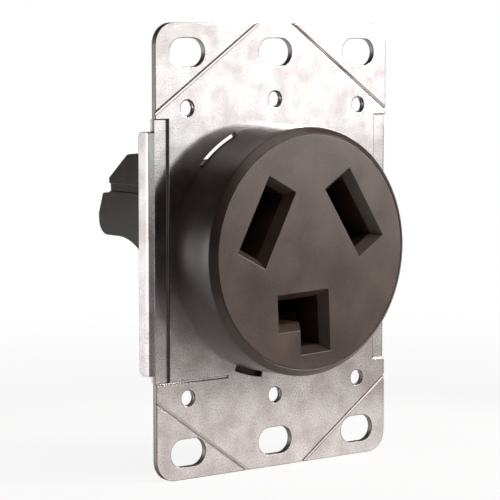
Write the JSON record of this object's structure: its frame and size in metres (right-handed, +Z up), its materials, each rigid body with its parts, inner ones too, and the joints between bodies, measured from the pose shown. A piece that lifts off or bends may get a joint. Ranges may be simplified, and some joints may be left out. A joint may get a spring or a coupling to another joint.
{
  "type": "dryer outlet",
  "caption": "Flush wall outlet for a dryer plug: a round dark moulded body with slanted blade slots and an L-shaped one, on a plated steel mounting strap with break-off corners.",
  "frame": {"origin": "on the strap's front face, at the centre of the box-screw slots, which is the moulded body's axis", "axes": "+X to the right seen from the front, +Y into the wall, +Z up; the blade slots face -Y"},
  "size_m": [0.064, 0.041, 0.0949],
  "materials": {
    "moulded_plastic": "moulded, satin",
    "zinc_plate": "bright zinc plate",
    "contact_brass": "rolled strip",
    "spring_steel": "tempered",
    "tinned_aluminium": "tin plate",
    "screw_steel": "zinc plate"
  },
  "bodies": {
    "root": {"body_screw_left": "screw_steel", "body_screw_right": "screw_steel", "body_screw_top": "screw_steel", "front_body": "moulded_plastic", "hot_contact_left": "contact_brass", "hot_contact_right": "contact_brass", "hot_spring_left": "spring_steel", "hot_spring_right": "spring_steel", "mounting_strap": "zinc_plate", "neutral_arm_spring": "spring_steel", "neutral_contact": "contact_brass", "neutral_leg_spring": "spring_steel", "pressure_plate_left": "zinc_plate", "pressure_plate_neutral": "zinc_plate", "pressure_plate_right": "zinc_plate", "rear_body": "moulded_plastic", "terminal_lug_left": "tinned_aluminium", "terminal_lug_neutral": "tinned_aluminium", "terminal_lug_right": "tinned_aluminium", "terminal_screw_left": "screw_steel", "terminal_screw_neutral": "screw_steel", "terminal_screw_right": "screw_steel"}
  },
  "joints": []
}
